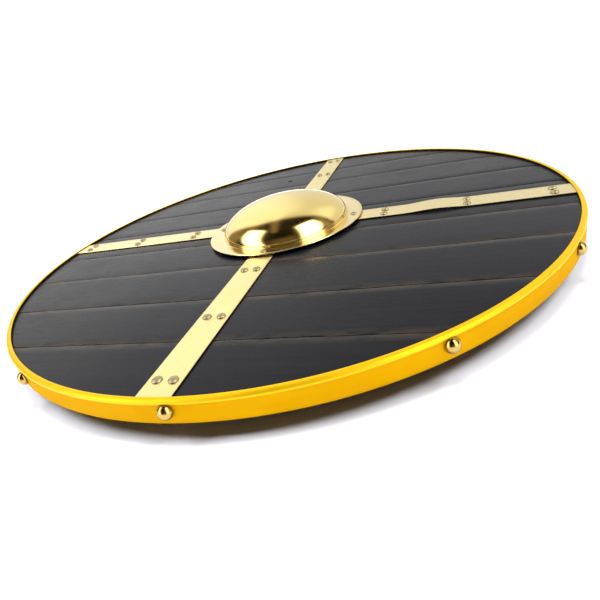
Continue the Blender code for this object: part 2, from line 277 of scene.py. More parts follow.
def swell(
    piece: Piece,
    height: float,
    weight: Callable[[Vector], float],
    direction: str = "Z",
    pattern: bpy.types.Texture | None = None,
) -> None:
    """Move a piece's surface by a height, times the weight from 0 to 1 at each point.

    The direction is X, Y, Z or NORMAL, and an uneven pattern scales the height as well.
    """
    group = piece.vertex_groups.new(name="swell")
    for vert in piece.data.vertices:
        group.add([vert.index], weight(vert.co), "REPLACE")
    modify(
        piece, "DISPLACE", direction=direction, strength=height, mid_level=0.0,
        vertex_group=group.name, texture=pattern, texture_coords="LOCAL",
    )
    piece.vertex_groups.clear()


def smooth(piece: Piece, degrees: float = 35.0) -> None:
    """Shade a piece smooth, apart from the edges sharper than an angle."""
    select_only(piece)
    bpy.ops.object.shade_smooth_by_angle(angle=math.radians(degrees))


def copy_of(piece: Piece, name: str, place: Matrix) -> Piece:
    """Copy a piece to another place, with a mesh of its own and its object at the origin."""
    select_only(piece)
    bpy.ops.object.duplicate(linked=False)
    bpy.context.active_object.matrix_world = place
    return settle(name)


def discard(*pieces: Piece) -> None:
    """Delete the guides that a build no longer needs."""
    for piece in pieces:
        bpy.data.objects.remove(piece)


def join_drills(radius: float, holes: dict[str, tuple[Matrix, float]]) -> Piece:
    """Return one cutter with a round bar for each node's hole, by its place and length."""
    bars = []
    for node, (place, depth) in holes.items():
        bpy.ops.mesh.primitive_cylinder_add(vertices=DRILL_SIDES, radius=radius, depth=depth)
        bpy.context.active_object.matrix_world = place
        bars.append(settle("drill_" + node))
    for bar in bars:
        bar.select_set(True)
    bpy.context.view_layer.objects.active = bars[0]
    bpy.ops.object.join()
    return bars[0]


def store(piece: Piece, name: str, number: Callable[[Vector], float]) -> None:
    """Keep a number at each point of a piece, for its finish to read by its name."""
    held = piece.data.attributes.new(name, "FLOAT", "POINT")
    for vert in piece.data.vertices:
        held.data[vert.index].value = number(vert.co)


def ramp(value: float, start: float, end: float) -> float:
    """Return a smooth step from 0 at the start to 1 at the end."""
    share = min(max((value - start) / (end - start), 0.0), 1.0)
    return share * share * (3.0 - 2.0 * share)


def hump(value: float, middle: float, reach: float) -> float:
    """Return a smooth hump, 1 at the middle and 0 from the reach on."""
    return 1.0 - ramp(abs(value - middle), 0.0, reach)


def arc(centre: tuple[float, float], radius: float, start: float, end: float, steps: int) -> Outline:
    """Return the points of an arc about a centre, both ends among them, its angles in degrees."""
    points = []
    for index in range(steps + 1):
        angle = math.radians(start + (end - start) * index / steps)
        points.append((centre[0] + radius * math.cos(angle), centre[1] + radius * math.sin(angle)))
    return points


def hand_over(piece: Piece, materials: Sequence[Material], slot: str, *nodes: str) -> None:
    """Give a finished piece its materials, its body and the nodes that it stands for; its slot is not
    used.

    The materials are in the order of the faces' indices.
    """
    for material in materials:
        piece.data.materials.append(material)
    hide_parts(*nodes)
    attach(piece, BODY)
    faces = len(piece.data.polygons)
    REPORT.info("%s stands for %s with %d faces", piece.name, ", ".join(nodes), faces)


class NodeSheet:
    """Short methods that add the nodes a finish is made of."""

    def __init__(self, tree: bpy.types.NodeTree) -> None:
        """Keep the tree that the nodes go in."""
        self.tree = tree

    def fill(self, node: bpy.types.Node, inputs: dict[int | str, Any]) -> None:
        """Set the inputs of a node, by name or number, to a value or to a socket to link."""
        for key, value in inputs.items():
            if isinstance(value, Socket):
                self.tree.links.new(value, node.inputs[key])
            else:
                node.inputs[key].default_value = value

    def add(self, kind: str, inputs: dict[int | str, Any], **settings: Any) -> bpy.types.Node:
        """Add a shader node with these inputs and these properties of its own."""
        node = self.tree.nodes.new("ShaderNode" + kind)
        for key, value in settings.items():
            setattr(node, key, value)
        self.fill(node, inputs)
        return node

    def place(self) -> Socket:
        """Return the surface point in metres, as the frame has it."""
        return self.add("TexCoord", {}).outputs["Object"]

    def attribute(self, name: str) -> Socket:
        """Return a number that the mesh holds at each point."""
        return self.add("Attribute", {}, attribute_name=name).outputs["Fac"]

    def maths(self, operation: str, *values: Any) -> Socket:
        """Return a sum, product or other function of one to three numbers."""
        return self.add("Math", dict(enumerate(values)), operation=operation).outputs[0]

    def weigh(self, *terms: tuple[Socket, float]) -> Socket:
        """Return the sum of some numbers, each times its own share."""
        parts = [self.maths("MULTIPLY", *term) for term in terms]
        return reduce(lambda total, part: self.maths("ADD", total, part), parts)

    def vector(self, operation: str, *values: Any) -> Socket:
        """Return a function of one or two vectors."""
        node = self.add("VectorMath", dict(enumerate(values)), operation=operation)
        return node.outputs["Vector"]

    def dot(self, vector: Socket, other: Vector) -> Socket:
        """Return how far a vector reaches along a fixed direction."""
        node = self.add("VectorMath", {0: vector, 1: other}, operation="DOT_PRODUCT")
        return node.outputs["Value"]

    def split(self, vector: Socket) -> tuple[Socket, Socket, Socket]:
        """Return the three numbers of a vector."""
        outputs = self.add("SeparateXYZ", {0: vector}).outputs
        return outputs[0], outputs[1], outputs[2]

    def join(self, *values: Any) -> Socket:
        """Return a vector made of up to three numbers."""
        return self.add("CombineXYZ", dict(enumerate(values))).outputs[0]

    def noise(
        self, vector: Socket, scale: float, detail: float = 3.0, rough: float = 0.5, twist: float = 0.0
    ) -> Socket:
        """Return a noise from 0 to 1, its scale in features to the metre.

        It has some layers of finer detail, rough says how strong they are, and twist distorts it.
        """
        inputs = {"Vector": vector, "Scale": scale, "Detail": detail}
        inputs |= {"Roughness": rough, "Distortion": twist}
        return self.add("TexNoise", inputs).outputs[0]

    def remap(
        self, value: Socket, start: float, end: float, low: float = 0.0, high: float = 1.0
    ) -> Socket:
        """Return a value eased from low at the start to high at the end."""
        inputs = {"Value": value, "From Min": start, "From Max": end, "To Min": low, "To Max": high}
        return self.add("MapRange", inputs, interpolation_type="SMOOTHSTEP").outputs["Result"]

    def blend(self, share: Any, first: Any, second: Any, mode: str = "MIX") -> Socket:
        """Return a colour between two colours or sockets, by the second's share and a mode."""
        colours = [(*end, 1.0) if isinstance(end, tuple) else end for end in (first, second)]
        inputs = {0: share, 6: colours[0], 7: colours[1]}
        node = self.add("Mix", inputs, data_type="RGBA", blend_type=mode)
        return node.outputs[2]

    def bump(self, height: Socket, depth: float, strength: float) -> Socket:
        """Return a normal tilted by a height from 0 to 1, whose full depth is in metres."""
        inputs = {"Height": height, "Distance": depth, "Strength": strength}
        return self.add("Bump", inputs).outputs[0]


def new_material(name: str) -> tuple[Material, NodeSheet, bpy.types.Node]:
    """Start a material, and return it with its node sheet and its Principled shader."""
    material = bpy.data.materials.new(name)
    material.use_nodes = True
    return material, NodeSheet(material.node_tree), material.node_tree.nodes["Principled BSDF"]


@dataclass(frozen=True)
class Brass:
    """The finish of a brass piece: its colour, its gloss and the fine lines of its making."""

    name: str
    colour: Colour
    worn_colour: Colour
    run: Run
    gloss: tuple[float, float]
    worn_share: float = 0.5
    worn_range: tuple[float, float] = (0.42, 0.72)
    patch_scale: float = 22.0
    line_scale: float = 900.0
    line_depth: float = 0.00003
    line_strength: float = 0.3
    centre: Vector = ORIGIN
    edge: Colour = WHITE
    metal: float = 1.0

    def run_vector(self, sheet: NodeSheet) -> Socket:
        """Return a vector that changes fast across the fine lines and slowly along them."""
        place = sheet.place()
        if self.run is not Run.AROUND:
            return sheet.vector("MULTIPLY", place, self.run.value)
        offset = sheet.vector("SUBTRACT", place, self.centre)
        x, y, z = sheet.split(offset)
        squares = sheet.maths("ADD", sheet.maths("MULTIPLY", x, x), sheet.maths("MULTIPLY", y, y))
        slow = sheet.vector("MULTIPLY", offset, (DRAWN_OUT, DRAWN_OUT, DRAWN_OUT))
        return sheet.vector("ADD", sheet.join(sheet.maths("SQRT", squares), z, 0.0), slow)

    def material(self) -> Material:
        """Make the material of the finish."""
        material, sheet, shader = new_material(self.name)
        lines = sheet.noise(self.run_vector(sheet), self.line_scale, detail=4.0, rough=0.6)
        patches = sheet.noise(sheet.place(), self.patch_scale, detail=4.0, rough=0.55, twist=0.4)
        worn = sheet.maths("MULTIPLY", sheet.remap(patches, *self.worn_range), self.worn_share)
        uneven = sheet.weigh((lines, 0.5), (patches, 0.5))
        sheet.fill(shader, {
            "Metallic": self.metal,
            "Specular Tint": (*self.edge, 1.0),
            "Base Color": sheet.blend(worn, self.colour, self.worn_colour),
            "Roughness": sheet.remap(uneven, *NOISE_RANGE, *self.gloss),
            "Normal": sheet.bump(lines, self.line_depth, self.line_strength),
        })
        return material


@dataclass(frozen=True)
class Wood:
    """The finish of a wooden piece: a stain over grain, with bare wood along worn edges, which on the
    board's joints is raised towards the near side as painted light.
    """

    name: str
    dark: Colour
    light: Colour
    bare: Colour
    gloss: tuple[float, float]
    run: Run = Run.ALONG_X
    figure_scale: float = 52.5
    grain_scale: float = 210.0
    pore_scale: float = 900.0
    pore_depth: float = 0.00012
    pore_strength: float = 0.5
    fleck_run: tuple[float, float, float] = (0.16, 1.0, 1.0)
    fleck_scale: float = 420.0
    streak_range: tuple[float, float] = (0.32, 0.68)
    plank_tones: tuple[float, float] = (0.86, 1.12)
    cloud_scale: float = 14.0
    cloud_range: tuple[float, float] = (0.25, 0.75)
    cloud_tones: tuple[float, float] = (0.88, 1.12)
    wear_run: tuple[float, float, float] = (0.35, 1.0, 1.0)
    wear_scale: float = 160.0
    wear_start: float = 0.5
    wear_span: float = 0.25
    shine: float = 0.5
    knot: Vector | None = None
    knot_reach: tuple[float, float] = (0.0022, 0.0052)

    def material(self) -> Material:
        """Make the material of the finish."""
        material, sheet, shader = new_material(self.name)
        tone = sheet.attribute("tone")
        place = sheet.vector("ADD", sheet.place(), sheet.join(tone, 0.0, tone))
        drawn = sheet.vector("MULTIPLY", place, self.run.value)
        figure = sheet.noise(drawn, self.figure_scale, twist=1.2)
        grain = sheet.noise(drawn, self.grain_scale, detail=5.0, rough=0.65, twist=0.3)
        pores = sheet.noise(drawn, self.pore_scale, detail=2.0)
        clouds = sheet.noise(place, self.cloud_scale)
        flecks = sheet.noise(sheet.vector("MULTIPLY", place, self.fleck_run), self.fleck_scale, rough=0.6)
        streaks = sheet.weigh((figure, 0.25), (grain, 0.30), (flecks, 0.45))
        stain = sheet.blend(sheet.remap(streaks, *self.streak_range), self.dark, self.light)
        own = sheet.maths("FRACT", sheet.maths("MULTIPLY", tone, TONE_SPREAD))
        cloudy = sheet.remap(clouds, *self.cloud_range, *self.cloud_tones)
        cloudy = sheet.maths("MULTIPLY", sheet.remap(own, 0.0, 1.0, *self.plank_tones), cloudy)
        stain = sheet.blend(1.0, stain, sheet.join(cloudy, cloudy, cloudy), "MULTIPLY")
        broken = sheet.vector("MULTIPLY", place, self.wear_run)
        broken = sheet.noise(broken, self.wear_scale, detail=4.0, rough=0.6)
        broken = sheet.remap(broken, self.wear_start, self.wear_start + self.wear_span)
        # Bare wood shows where the mesh's stored number says: on the board, wear at the joints plus
        # painted light towards the near side; on the battens, wear only.
        colour = sheet.blend(sheet.maths("MULTIPLY", sheet.attribute("wear_and_light"), broken), stain, self.bare)
        rough = sheet.remap(sheet.weigh((flecks, 0.6), (clouds, 0.4)), *NOISE_RANGE, *self.gloss)
        if self.knot is not None:
            away = sheet.vector("SUBTRACT", sheet.place(), self.knot)
            away = sheet.add("VectorMath", {0: away}, operation="LENGTH").outputs["Value"]
            knot = sheet.remap(away, *self.knot_reach, 1.0, 0.0)
            colour = sheet.blend(knot, colour, self.dark)
            rough = sheet.maths("MAXIMUM", rough, knot)
        height = sheet.weigh((pores, 0.4), (grain, 0.4), (flecks, 0.4))
        sheet.fill(shader, {
            "Specular IOR Level": self.shine,
            "Base Color": colour,
            "Roughness": rough,
            "Normal": sheet.bump(height, self.pore_depth, self.pore_strength),
        })
        return material


BOARD_STAIN = Wood(
    "board_charcoal_stain", dark=(0.0026, 0.0026, 0.0035), light=(0.0056, 0.0056, 0.0073),
    bare=(0.052, 0.037, 0.026), gloss=(0.20, 0.36), wear_start=0.30, shine=0.125,
    knot=Vector((-0.050, 0.198, BOARD_FACE)),
)
BOARD_BACK_STAIN = Wood(
    "board_back_stain", dark=(0.030, 0.020, 0.014), light=(0.060, 0.041, 0.028),
    bare=(0.11, 0.07, 0.04), gloss=(0.5, 0.7),
)
BATTEN_STAIN = Wood(
    "batten_brown_stain", dark=(0.060, 0.030, 0.015), light=(0.14, 0.075, 0.038),
    bare=(0.22, 0.13, 0.07), gloss=(0.42, 0.6), run=Run.ALONG_Y, fleck_run=(1.0, 0.16, 1.0),
)
RIM_GOLD = Brass(
    "rim_satin_gold", colour=(0.60, 0.320, 0.001), worn_colour=(0.56, 0.290, 0.001),
    run=Run.AROUND, gloss=(0.56, 0.66), edge=(1.0, 0.8, 0.02), metal=0.85,
)
# The lip is the same gold sheet as the side; its brighter, yellower colour is painted light falling on it
# from above.
RIM_LIP_PAINTED_LIGHT_GOLD = Brass(
    "rim_lip_gold_painted_light", colour=(0.82, 0.49, 0.002), worn_colour=(0.79, 0.46, 0.003),
    run=Run.AROUND, gloss=(0.40, 0.50), edge=(1.0, 1.0, 0.75), metal=0.7,
)
# The hem's inward faces get a near-black brass that is painted shade: the dark line where the lip's inner
# edge meets the board.
RIM_HEM_PAINTED_SHADE_BRASS = Brass(
    "rim_hem_painted_shade_brass", colour=(0.10, 0.065, 0.012), worn_colour=(0.07, 0.045, 0.010),
    run=Run.AROUND, gloss=(0.40, 0.50),
)
STRAP_BRASS_X = Brass(
    "strap_pale_brass_lengthwise", colour=(0.96, 0.80, 0.42), worn_colour=(0.92, 0.74, 0.37),
    run=Run.ALONG_X, gloss=(0.24, 0.34),
)
# The near and far straps are the same brass as the others; their yellower colour is a painted reflection,
# tinted to match how they mirror the light.
STRAP_BRASS_Y_PAINTED_REFLECTION = Brass(
    "strap_brass_crosswise_painted_reflection", colour=(0.96, 0.80, 0.35), worn_colour=(0.92, 0.74, 0.31),
    run=Run.ALONG_Y, gloss=(0.24, 0.34),
)
BOSS_BRASS = Brass(
    "boss_polished_brass", colour=(0.95, 0.73, 0.27), worn_colour=(0.91, 0.68, 0.24),
    run=Run.AROUND, gloss=(0.09, 0.15), centre=BOSS_AXIS,
)
FLANGE_BRASS = Brass(
    "boss_flange_satin_brass", colour=(0.93, 0.76, 0.40), worn_colour=(0.88, 0.70, 0.34),
    run=Run.AROUND, gloss=(0.16, 0.24), centre=BOSS_AXIS,
)
PIN_BRASS = Brass(
    "pin_brass", colour=(0.52, 0.46, 0.27), worn_colour=(0.38, 0.32, 0.17),
    run=Run.ALONG_X, gloss=(0.44, 0.56), patch_scale=260.0,
)
NAIL_BRASS = Brass(
    "nail_brass", colour=(0.44, 0.31, 0.09), worn_colour=(0.37, 0.24, 0.06),
    run=Run.ALONG_X, gloss=(0.13, 0.22), patch_scale=160.0,
)


@dataclass(frozen=True)
class DomedHead:
    """A domed brass head on a round shank, first made standing on the origin."""

    head_radius: float
    head_height: float
    shank_radius: float
    shank_length: float
    segments: int = 36
    lip: float = 0.00025
    lip_steps: int = 2
    point: float = 0.45

    def build(self, name: str) -> Piece:
        """Make the head and its shank, its seat at the origin and its crown up."""
        bpy.ops.mesh.primitive_uv_sphere_add(
            segments=self.segments, ring_count=self.segments // 2, radius=self.head_radius
        )
        piece = settle(name)
        with editing(piece):
            bpy.ops.mesh.select_all(action="SELECT")
            bpy.ops.mesh.bisect(plane_co=ORIGIN, plane_no=(0, 0, 1), clear_inner=True, use_fill=True)
            bpy.ops.mesh.select_all(action="SELECT")
            squash = self.head_height / self.head_radius
            bpy.ops.transform.resize(value=(1.0, 1.0, squash), center_override=ORIGIN)
            select(piece, Pick.EDGES, lambda edge: all(abs(v.co.z) < MERGE for v in edge.verts))
            bpy.ops.mesh.bevel(offset=self.lip, segments=self.lip_steps, affect="EDGES")
            select(piece, Pick.FACES, lambda face: face.normal.z < -LEVEL)
            bpy.ops.mesh.inset(thickness=self.head_radius - self.lip - self.shank_radius)
            down = (0.0, 0.0, -self.shank_length)
            bpy.ops.mesh.extrude_region_move(TRANSFORM_OT_translate={"value": down})
            bpy.ops.transform.resize(value=(self.point, self.point, 1.0), center_override=down)
        smooth(piece)
        return piece


@dataclass
class Pins:
    """The domed pins of the straps and of the boss flange."""

    head_height: float = 0.0021
    shank_radius: float = 0.0013
    dent: float = 0.00022
    dent_size: float = 0.0045
    hole_slack: float = 0.00005
    turn: float = 37.0

    def add_drill(self) -> Piece:
        """Make the cutter of the upright holes."""
        rooms = {node: PLACES[node] for node in nodes_with("_pin_")}
        holes = {node: (Matrix.Translation(room.centre), room.size.z) for node, room in rooms.items()}
        return join_drills(self.shank_radius + self.hole_slack, holes)

    def build(self) -> None:
        """Build every pin where its node is, each with its own small dents."""
        brass = PIN_BRASS.material()
        dents = ripple("pin dents", self.dent_size)
        for node in nodes_with("_pin_"):
            place = PLACES[node]
            seat = place.high.z - self.head_height
            head = DomedHead(place.size.x / 2, self.head_height, self.shank_radius, seat - place.low.z)
            model = head.build("model")
            spot = Vector((place.centre.x, place.centre.y, seat))
            turn = Matrix.Rotation(math.radians(self.turn) * spot.x / self.dent_size, 4, "Z")
            pin = copy_of(model, "domed_" + node, Matrix.Translation(spot) @ turn)
            discard(model)
            swell(
                pin, -self.dent, lambda co: ramp(co.z, seat, seat + self.head_height / 2),
                "NORMAL", dents,
            )
            hand_over(pin, [brass], "pin_brass", node)


@dataclass
class RimNails:
    """The domed nails round the rim's side."""

    head_height: float = 0.0042
    crown: float = 0.0050
    head_radius: float = 0.0056
    shank_radius: float = 0.0014
    dent: float = 0.0002
    dent_size: float = 0.006
    seat_gap: float = 0.0001
    hole_slack: float = 0.00005

    def placing(self, node: str) -> Matrix:
        """Return the matrix that puts a nail's seat on the rim, its crown outwards."""
        centre = PLACES[node].centre
        out = Vector((centre.x, centre.y, 0.0)).normalized()
        seat = out * (RIM_RADIUS + self.seat_gap)
        seat.z = centre.z
        return Matrix.Translation(seat) @ out.to_track_quat("Z", "Y").to_matrix().to_4x4()

    def length(self) -> float:
        """Return how deep the nails go, from their seat."""
        reach = PLACES["rim_nail_01"].centre.xy.length * 2 - RIM_RADIUS
        return RIM_RADIUS - reach + self.head_height

    def add_drill(self) -> Piece:
        """Return the cutter of the level holes."""
        holes = {node: (self.placing(node), 2 * self.length()) for node in nodes_with("rim_nail_")}
        return join_drills(self.shank_radius + self.hole_slack, holes)

    def build(self) -> None:
        """Build the nails."""
        brass = NAIL_BRASS.material()
        dents = ripple("nail dents", self.dent_size)
        head = DomedHead(self.head_radius, self.crown, self.shank_radius, self.length())
        model = head.build("model")
        dented_from = RIM_RADIUS + self.head_height / 2
        for node in nodes_with("rim_nail_"):
            nail = copy_of(model, "domed_" + node, self.placing(node))
            swell(
                nail, -self.dent, lambda co: ramp(co.xy.length, RIM_RADIUS, dented_from),
                "NORMAL", dents,
            )
            hand_over(nail, [brass], "rim_brass", node)
        discard(model)


@dataclass
class PlankBoard:
    """The round board of butted planks, charcoal on its face."""

    face_ease: float = 0.0006
    back_ease: float = 0.0006
    ease_segments: int = 3
    station: float = 0.003
    rows: int = 7
    hand_hole_radius: float = 0.062
    hole_ease: float = 0.0018
    edge_wear: float = 0.0005
    edge_wear_size: float = 0.009
    warp: float = 0.0003
    warp_size: float = 0.07
    step: float = 0.00016
    wear_reach: float = 1.8
    wear_least: float = 0.1
    # Bare wood at the joints fades in over this span towards the near side, as painted light on the near
    # joints.
    worn_and_lit_from: tuple[float, float] = (-0.06, 0.12)
    tone_start: float = 5.0
    tone_slope: float = 40.0
    tone_split: float = 3.0
    disc_sides: int = 240
    hole_sides: int = 120

    def joints(self, place: Place) -> list[float]:
        """Return the Y of the edges at which a plank meets its neighbours."""
        return [y for y in (place.low.y, place.high.y) if abs(y) < BOARD_RADIUS - OVERCUT]

    def add_disc(self) -> Piece:
        """Make the round guide that the planks are cut to."""
        depth = BOARD_FACE - BOARD_BACK + 2 * OVERCUT
        middle = Vector((0.0, 0.0, (BOARD_FACE + BOARD_BACK) / 2))
        bpy.ops.mesh.primitive_cylinder_add(
            vertices=self.disc_sides, radius=BOARD_RADIUS, depth=depth, location=middle
        )
        return settle("disc_guide")

    def add_hand_hole(self) -> Piece:
        """Make the cutter of the hand hole, flared at both faces to ease its edges."""
        radius, ease = self.hand_hole_radius, self.hole_ease
        outline = [
            (0.0, BOARD_FACE + ease), (radius + 2 * ease, BOARD_FACE + ease),
            (radius, BOARD_FACE - ease), (radius, BOARD_BACK + ease),
            (radius + 2 * ease, BOARD_BACK - ease), (0.0, BOARD_BACK - ease),
        ]
        return turn_outline("hole_guide", outline, self.hole_sides, BOSS_AXIS)

    def add_plank(self, node: str) -> Piece:
        """Make one straight plank with eased joint edges, still longer than the board."""
        place = PLACES[node]
        low = Vector((-BOARD_RADIUS, place.low.y, BOARD_BACK))
        high = Vector((BOARD_RADIUS, place.high.y, BOARD_FACE))
        if place.high.x < BOSS_AXIS.x:
            high.x = BOSS_AXIS.x
        if place.low.x > BOSS_AXIS.x:
            low.x = BOSS_AXIS.x
        plank = add_bar("stained_" + node, low, high)
        joints = self.joints(place)
        with editing(plank):
            for height, ease in ((BOARD_FACE, self.face_ease), (BOARD_BACK, self.back_ease)):
                select(plank, Pick.EDGES, lambda edge: runs_along(edge, 0) and all(
                    abs(v.co.z - height) < MERGE and min(abs(v.co.y - y) for y in joints) < MERGE
                    for v in edge.verts
                ))
                bpy.ops.mesh.bevel(offset=ease, segments=self.ease_segments, affect="EDGES")
            select(plank, Pick.EDGES, lambda edge: runs_along(edge, 1) and edge.calc_length() > OVERCUT)
            bpy.ops.mesh.subdivide(number_cuts=self.rows)
            select(plank, Pick.EDGES, lambda edge: runs_along(edge, 0))
            bpy.ops.mesh.subdivide(number_cuts=round((high.x - low.x) / self.station))
        self.age(plank, joints)
        return plank

    def age(self, plank: Piece, joints: list[float]) -> None:
        """Wear the joint edges of a plank and make its face a little uneven."""
        bevel = self.face_ease + MERGE
        corner = plank.data.vertices[0].co.y
        swell(
            plank, -self.edge_wear,
            lambda co: float(co.z > BOARD_FACE - bevel and min(abs(co.y - y) for y in joints) < bevel),
            "NORMAL", ripple("edge wear_and_light", self.edge_wear_size),
        )
        top = BOARD_FACE - 2 * self.edge_wear
        swell(plank, -self.warp, lambda co: float(co.z > top), "Z", ripple("warp", self.warp_size))
        # No two neighbours lie quite level: each is lower by up to one step.
        lower = self.step * (0.5 + 0.5 * math.sin(corner / self.step))
        swell(plank, -lower, lambda co: float(co.z > top))

    def wear_and_light(self, co: Vector, joints: list[float]) -> float:
        """Say how much bare wood shows at a place, from 0 to 1, and 0 on the back: wear along the joints,
        made stronger towards the near side as painted light.
        """
        nearest = min(abs(co.y - level) for level in joints)
        worn = 1.0 - ramp(nearest, 0.0, self.wear_reach * self.face_ease)
        above = worn * (co.z > BOARD_BACK + OVERCUT)
        # The bare wood grows towards the near side (-Y): painted light catching the near joints, on top
        # of the wear.
        return above * (self.wear_least + (1.0 - self.wear_least) * ramp(-co.y, *self.worn_and_lit_from))

    def mark(self, plank: Piece, node: str) -> None:
        """Store the plank's tone and its worn edges, partly painted light, on its mesh, and share out its
        materials.
        """
        place = PLACES[node]
        joints = self.joints(place)
        right_half = place.low.x > BOSS_AXIS.x
        tone = self.tone_start + place.centre.y * self.tone_slope + self.tone_split * right_half
        store(plank, "tone", lambda co: tone)
        store(plank, "wear_and_light", lambda co: self.wear_and_light(co, joints))
        for face in plank.data.polygons:
            face.material_index = int(face.center.z < BOARD_FACE - OVERCUT)

    def build(self, drills: Sequence[Piece]) -> None:
        """Build the planks, with the pin and nail holes that the drills cut."""
        stain, back = BOARD_STAIN.material(), BOARD_BACK_STAIN.material()
        disc, hole = self.add_disc(), self.add_hand_hole()
        for node in nodes_with("plank_"):
            plank = self.add_plank(node)
            cut(plank, disc, "INTERSECT")
            cut(plank, hole)
            for drill in drills:
                cut(plank, drill)
            smooth(plank)
            hand_over(plank, [stain, back], "black_stained_wood", node)
            self.mark(plank, node)
        discard(disc, hole)


@dataclass
class FoldedRim:
    """The satin gold channel over the board's edge, its lip turned down onto the planks."""

    sheet: float = 0.0008
    lip: float = 0.005
    hem_gap: float = 0.0003
    hem_radius: float = 0.0010
    hem_turn: float = 0.5
    shoulder: float = 0.0029
    bead: float = 0.00035
    foot_radius: float = 0.0014
    slot_slack: float = 0.0005
    wave: float = 0.0002
    wave_size: float = 0.09
    edge_round: float = 0.0002
    hem_steps: int = 4
    shoulder_steps: int = 9
    side_steps: int = 5
    foot_steps: int = 4
    steps: int = 360

    def outline(self) -> Outline:
        """Draw the channel's outer face, from the lip's hem over the side to below.

        The rounded lip ends in a shallow step, which leaves a fine line above the flat side.
        """
        top, bottom = PLACES["rim"].high.z, PLACES["rim"].low.z
        inner, start = RIM_RADIUS - self.lip, RIM_RADIUS - self.shoulder
        hem = (inner + self.hem_radius, top - self.hem_radius)
        points = [(inner, BOARD_FACE + self.hem_gap)]
        points += arc(hem, self.hem_radius, 180.0, 90.0, self.hem_steps)
        points += arc((start, top - self.shoulder), self.shoulder, 90.0, 0.0, self.shoulder_steps)
        side = RIM_RADIUS - self.bead
        crease = top - self.shoulder - 2 * self.bead
        foot = (side - self.foot_radius, bottom + self.foot_radius)
        for index in range(self.side_steps):
            points.append((side, crease + (foot[1] - crease) * index / self.side_steps))
        points += arc(foot, self.foot_radius, 0.0, -90.0, self.foot_steps)
        points += [((inner + foot[0]) / 2, bottom), (inner, bottom)]
        return points

    def add_slot(self, side: Side) -> Piece:
        """Make the cutter that lets a strap in under the lip's hem."""
        strap = PLACES["strap_" + side.label]
        reach = RIM_RADIUS - self.lip
        middle = strap.centre - side.along * strap.centre.dot(side.along)
        width = side.across * (abs(strap.size.dot(side.across)) / 2 + self.slot_slack)
        near = middle + side.along * (reach - OVERCUT) - width
        far = middle + side.along * (reach + self.sheet + self.slot_slack) + width
        low = Vector((min(near.x, far.x), min(near.y, far.y), strap.low.z - OVERCUT))
        high = Vector((max(near.x, far.x), max(near.y, far.y), strap.high.z + self.slot_slack))
        return add_bar("slot_guide_" + side.label, low, high)

    def build(self, drills: Sequence[Piece]) -> None:
        """Build the rim, with the nail holes that the drills cut."""
        rim = turn_outline("folded_rim", self.outline(), self.steps, ORIGIN)
        swell(rim, -self.wave, lambda co: 1.0, "NORMAL", ripple("rim wave", self.wave_size))
        thicken(rim, self.sheet)
        slots = [self.add_slot(side) for side in Side]
        soften(rim, self.edge_round)
        for cutter in (*drills, *slots):
            cut(rim, cutter)
        discard(*slots)
        smooth(rim)
        # The side has the rim's own gold; the lip's brighter copy is painted light and the hem's dark
        # brass is painted shade.
        finishes = {RimPart.SIDE: RIM_GOLD, RimPart.LIP: RIM_LIP_PAINTED_LIGHT_GOLD, RimPart.HEM: RIM_HEM_PAINTED_SHADE_BRASS}
        hand_over(rim, [finishes[part].material() for part in RimPart], "rim_brass", "rim")
        self.mark(rim)

    def mark(self, rim: Piece) -> None:
        """Share out the finishes: the lip gets a brighter gold that is painted light, and the hem's
        inward faces a dark brass that is painted shade.
        """
        crease = PLACES["rim"].high.z - self.shoulder - self.bead
        hem = RIM_RADIUS - self.lip + self.hem_radius
        for face in rim.data.polygons:
            if face.center.z > crease:
                # Inward faces of the hem take the painted shade finish; the rest of the top takes the
                # lip's painted light finish.
                inward = face.center.xy.length < hem and face.normal.z < self.hem_turn
                face.material_index = RimPart.HEM if inward else RimPart.LIP


@dataclass
class StrapCross:
    """The four pale brass straps that run out from under the boss."""

    stations: int = 64
    rows: int = 6
    edge_round: float = 0.00025
    dimple: float = 0.00022
    dimple_reach: float = 0.007
    # The right strap is buckled upwards before its last pins, and leans there.
    buckle: float = 0.0014
    buckle_lean: float = 0.0006
    buckle_middle: float = 0.171
    buckle_reach: float = 0.036
    uneven: float = 0.00025
    uneven_size: float = 0.05

    def build_strap(self, side: Side, drill: Piece) -> Piece:
        """Build one strap, with its pin holes."""
        node = "strap_" + side.label
        place = PLACES[node]
        strap = add_bar(node + "_band", place.low, place.high)
        along, across = (0, 1) if side.along.x else (1, 0)
        with editing(strap):
            select(strap, Pick.EDGES, lambda edge: runs_along(edge, across))
            bpy.ops.mesh.subdivide(number_cuts=self.rows)
            select(strap, Pick.EDGES, lambda edge: runs_along(edge, along))
            bpy.ops.mesh.subdivide(number_cuts=self.stations)
        pins = [PLACES[name].centre for name in nodes_with("strap_pin_" + side.label)]
        swell(strap, self.uneven, lambda co: 1.0, "Z", ripple("strap ripple", self.uneven_size))
        swell(strap, -self.dimple, lambda co: max(
            hump((co - pin).xy.length, 0.0, self.dimple_reach) for pin in pins
        ))
        if side is Side.RIGHT:
            bend = (self.buckle_middle, self.buckle_reach)
            swell(strap, self.buckle, lambda co: hump(co.x, *bend))
            swell(strap, self.buckle_lean, lambda co: (
                hump(co.x, *bend) * (co.y - place.low.y) / place.size.y
            ))
        soften(strap, self.edge_round)
        cut(strap, drill)
        smooth(strap)
        return strap

    def build(self, drill: Piece) -> None:
        """Build the four straps."""
        lengthwise, crosswise = STRAP_BRASS_X.material(), STRAP_BRASS_Y_PAINTED_REFLECTION.material()
        for side in Side:
            strap = self.build_strap(side, drill)
            # The crosswise straps take the copy of the brass with the painted reflection tint.
            brass = lengthwise if side.along.x else crosswise
            hand_over(strap, [brass], "strap_brass", "strap_" + side.label)


